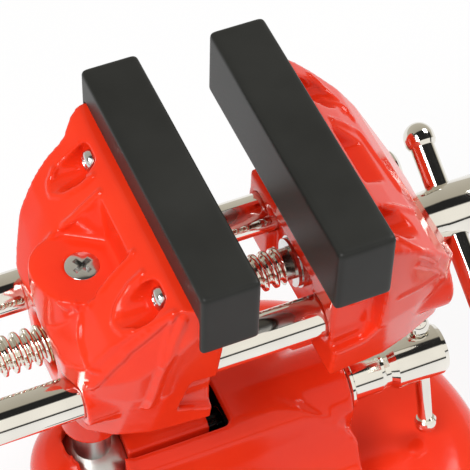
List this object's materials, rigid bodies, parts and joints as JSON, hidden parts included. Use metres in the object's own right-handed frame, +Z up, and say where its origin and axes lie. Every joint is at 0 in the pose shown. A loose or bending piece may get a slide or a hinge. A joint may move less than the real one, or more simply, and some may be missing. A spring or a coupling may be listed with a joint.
{
  "type": "suction base vise",
  "caption": "Small bench vise with soft-covered jaws on two guide rods and a lead screw, turning on a clamped ball joint above a lever-operated suction base",
  "frame": {"origin": "centre of the base's underside, on the table", "axes": "+Z up; +X along the guide rods from the fixed jaw to the moving jaw; +Y along the jaws"},
  "size_m": [0.161, 0.1417, 0.1678],
  "materials": {
    "red_enamel": "glossy",
    "soft_cover": "satin",
    "pad_rubber": "matte",
    "grip_plastic": "satin",
    "chrome": "polished",
    "screw_steel": "polished",
    "plate_steel": "brushed",
    "zinc": "satin",
    "nut_brass": "satin"
  },
  "bodies": {
    "base": {"base_casting": "red_enamel"},
    "suction": {"suction_pad": "pad_rubber", "pad_plate": "plate_steel", "pull_yoke": "zinc"},
    "lever": {"cam_shaft": "zinc", "lever_arm": "plate_steel", "lever_grip": "grip_plastic", "lever_screw": "screw_steel"},
    "clamp": {"clamp_block": "red_enamel"},
    "clamp_spindle": {"clamp_screw": "chrome"},
    "clamp_handle": {"clamp_bar": "chrome", "clamp_bar_knobs": "chrome"},
    "ball": {"ball_stem": "zinc"},
    "head": {"fixed_jaw": "red_enamel", "jaw_nut": "nut_brass", "nut_screw": "screw_steel", "fixed_jaw_plate": "plate_steel", "fixed_plate_screws": "screw_steel", "fixed_jaw_cover": "soft_cover"},
    "slide": {"moving_jaw": "red_enamel", "moving_jaw_plate": "plate_steel", "moving_plate_screws": "screw_steel", "moving_jaw_cover": "soft_cover", "guide_rod_near": "chrome", "guide_rod_far": "chrome"},
    "spindle": {"lead_screw": "chrome", "thrust_washer": "screw_steel", "e_clip": "screw_steel"},
    "handle": {"handle_bar": "chrome", "handle_bar_knobs": "chrome"}
  },
  "joints": [
    {"name": "lever_swing", "type": "hinge", "parent": "base", "child": "lever", "pos_m": [0, 0, 0.024], "axis": [0, 1, 0], "range_deg": [0, 180]},
    {"name": "pad_lift", "type": "slide", "parent": "base", "child": "suction", "axis": [0, 0, 1], "range_m": [0, 0.0042]},
    {"name": "clamp_travel", "type": "slide", "parent": "base", "child": "clamp", "axis": [1, 0, 0], "range_m": [0, 0.003]},
    {"name": "clamp_turn", "type": "hinge", "parent": "clamp", "child": "clamp_spindle", "pos_m": [0, 0, 0.0655], "axis": [1, 0, 0], "range_deg": [-2, 866]},
    {"name": "clamp_bar_slide", "type": "slide", "parent": "clamp_spindle", "child": "clamp_handle", "axis": [0, 0.33, 0.944], "range_m": [0, 0.0131]},
    {"name": "head_tilt", "type": "hinge", "parent": "base", "child": "ball", "pos_m": [-0.0476, 0, 0.0655], "axis": [1, 0, 0], "range_deg": [-8, 60]},
    {"name": "head_swivel", "type": "hinge", "parent": "ball", "child": "head", "pos_m": [-0.0476, 0, 0.0655], "axis": [0, 0, 1], "continuous": true},
    {"name": "jaw_slide", "type": "slide", "parent": "head", "child": "slide", "axis": [1, 0, 0], "range_m": [-0.0171, 0.038]},
    {"name": "screw_turn", "type": "hinge", "parent": "slide", "child": "spindle", "pos_m": [0, 0, 0.122], "axis": [1, 0, 0], "range_deg": [-2325, 5164]},
    {"name": "handle_slide", "type": "slide", "parent": "spindle", "child": "handle", "axis": [0, 0.88, 0.475], "range_m": [-0.0079, 0.0283]}
  ],
  "couplings": [
    {"joint": "lever_swing", "follows": "pad_lift", "rad_per_m": 747.99},
    {"joint": "clamp_turn", "follows": "clamp_travel", "rad_per_m": 5026.5},
    {"joint": "screw_turn", "follows": "jaw_slide", "rad_per_m": 2371}
  ]
}
